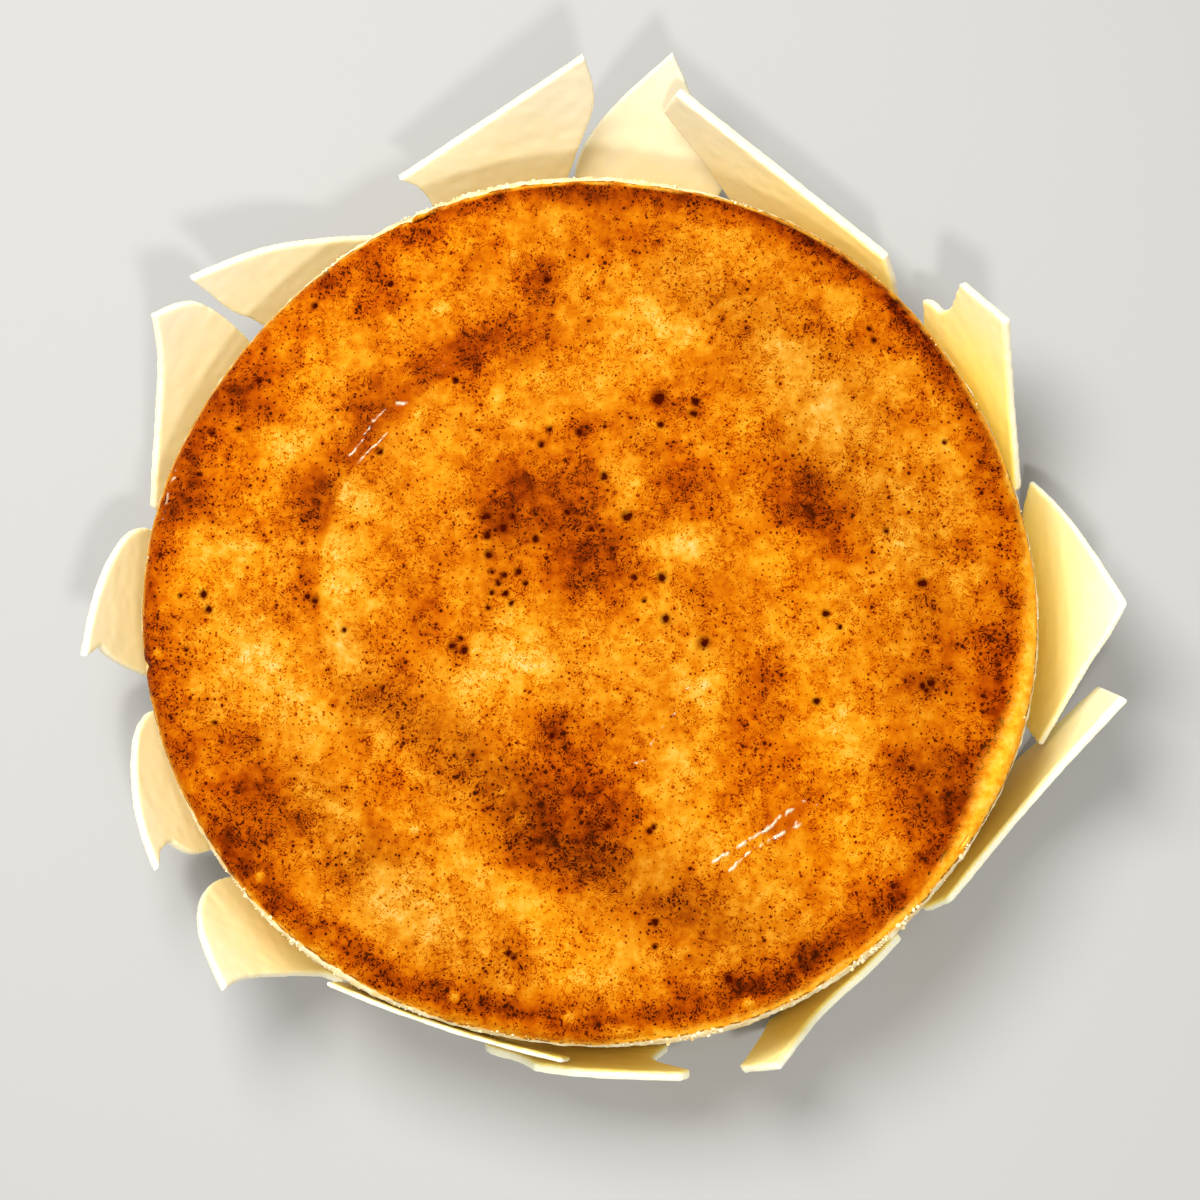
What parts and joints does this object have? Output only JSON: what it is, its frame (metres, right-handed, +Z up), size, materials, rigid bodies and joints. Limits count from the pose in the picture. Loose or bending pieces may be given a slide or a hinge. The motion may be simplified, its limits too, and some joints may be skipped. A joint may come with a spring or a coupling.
{
  "type": "cheesecake",
  "caption": "Round baked cheesecake with a browned top and thin flat shards of white chocolate standing round its side.",
  "frame": {"origin": "centre of the cake's flat base, on the surface that it stands on", "axes": "+Z up along the cake's axis; +X to the right and +Y to the top of the cake as it is usually looked down on"},
  "size_m": [0.2693, 0.2731, 0.0584],
  "materials": {
    "baked_cheesecake": "satin, mottled brown",
    "white_chocolate": "satin"
  },
  "bodies": {
    "root": {"cake": "baked_cheesecake", "shard_01": "white_chocolate", "shard_02": "white_chocolate", "shard_03": "white_chocolate", "shard_04": "white_chocolate", "shard_05": "white_chocolate", "shard_06": "white_chocolate", "shard_07": "white_chocolate", "shard_08": "white_chocolate", "shard_09": "white_chocolate", "shard_10": "white_chocolate", "shard_11": "white_chocolate", "shard_12": "white_chocolate", "shard_13": "white_chocolate", "shard_14": "white_chocolate"}
  },
  "joints": []
}
